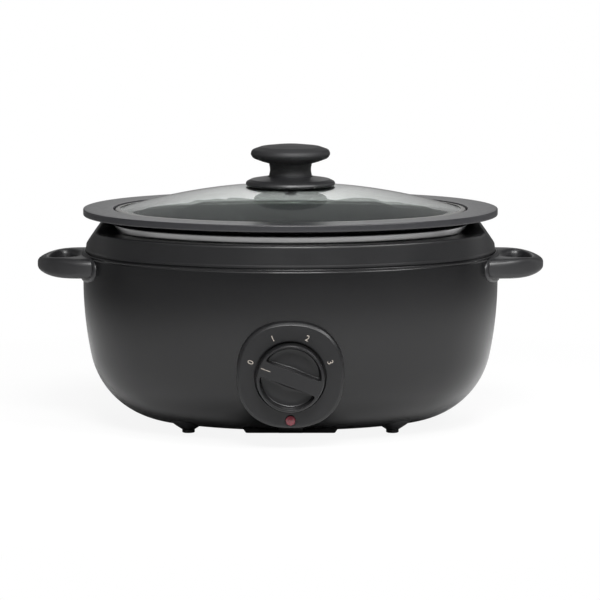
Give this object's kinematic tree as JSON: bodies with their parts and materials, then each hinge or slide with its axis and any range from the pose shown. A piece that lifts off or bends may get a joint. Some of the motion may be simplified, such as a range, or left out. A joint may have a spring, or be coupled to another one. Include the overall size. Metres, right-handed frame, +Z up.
{
  "type": "slow cooker",
  "caption": "Oval slow cooker: black shell on short feet, lift-out coated pot with a wide flange, domed glass lid with a mushroom knob, side handles and a front dial.",
  "frame": {"origin": "middle of the plan box, on the surface that the cooker stands on", "axes": "+X to the right of the cooker as the user faces it, -Y out of the dial's face towards the user, +Z up"},
  "size_m": [0.4344, 0.295, 0.2419],
  "materials": {
    "shell_enamel": "matt",
    "collar_plastic": "matt",
    "liner_aluminium": "satin",
    "heater_sleeve": "woven",
    "glass_wool": "fibrous",
    "galvanised_steel": "satin",
    "zinc_screws": "satin",
    "inner_plastic": "matt",
    "white_ceramic": "matt",
    "foot_plastic": "matt",
    "foot_rubber": "matt",
    "panel_plastic": "satin",
    "red_lens": "gloss",
    "lamp_glass": "gloss",
    "handle_plastic": "satin",
    "dial_plastic": "satin",
    "mark_ink": "satin",
    "nonstick_aluminium": "satin",
    "lid_glass": "gloss",
    "polished_steel": "polished"
  },
  "bodies": {
    "base": {"outer_shell": "shell_enamel", "top_collar": "collar_plastic", "collar_screws": "zinc_screws", "heating_liner": "liner_aluminium", "band_heater": "heater_sleeve", "heater_clamp": "zinc_screws", "clamp_screw": "zinc_screws", "insulation": "glass_wool", "heat_shield": "galvanised_steel", "thermostat": "inner_plastic", "thermal_fuse": "white_ceramic", "fuse_clip": "zinc_screws", "tie_stud": "zinc_screws", "stud_spacer": "zinc_screws", "stud_washer": "zinc_screws", "stud_nuts": "zinc_screws", "base_plate": "galvanised_steel", "base_screws": "zinc_screws", "base_feet": "foot_plastic", "foot_screws": "zinc_screws", "rubber_feet": "foot_rubber", "control_housing": "panel_plastic", "housing_screws": "zinc_screws", "rotary_switch": "inner_plastic", "switch_nut": "zinc_screws", "indicator_lens": "red_lens", "neon_lamp": "lamp_glass", "side_handle_left": "handle_plastic", "side_handle_right": "handle_plastic", "handle_screws": "zinc_screws", "cord_gland": "foot_rubber", "gland_nut": "inner_plastic", "terminal_block": "white_ceramic"},
    "dial": {"control_knob": "dial_plastic", "knob_mark": "mark_ink", "switch_shaft": "zinc_screws"},
    "pot": {"cooking_pot": "nonstick_aluminium"},
    "lid": {"lid_glass": "lid_glass", "lid_rim": "polished_steel", "lid_knob": "handle_plastic", "lid_knob_skirt": "handle_plastic", "lid_screw": "zinc_screws", "lid_washer": "zinc_screws"}
  },
  "joints": [
    {"name": "pot_lift", "type": "slide", "parent": "base", "child": "pot", "axis": [0, 0, 1], "range_m": [0, 0.14]},
    {"name": "lid_lift", "type": "slide", "parent": "pot", "child": "lid", "axis": [0, 0, 1], "range_m": [0, 0.08]},
    {"name": "dial_turn", "type": "hinge", "parent": "base", "child": "dial", "pos_m": [0, -0.1475, 0.0617], "axis": [0, 1, 0], "range_deg": [0, 139]}
  ]
}
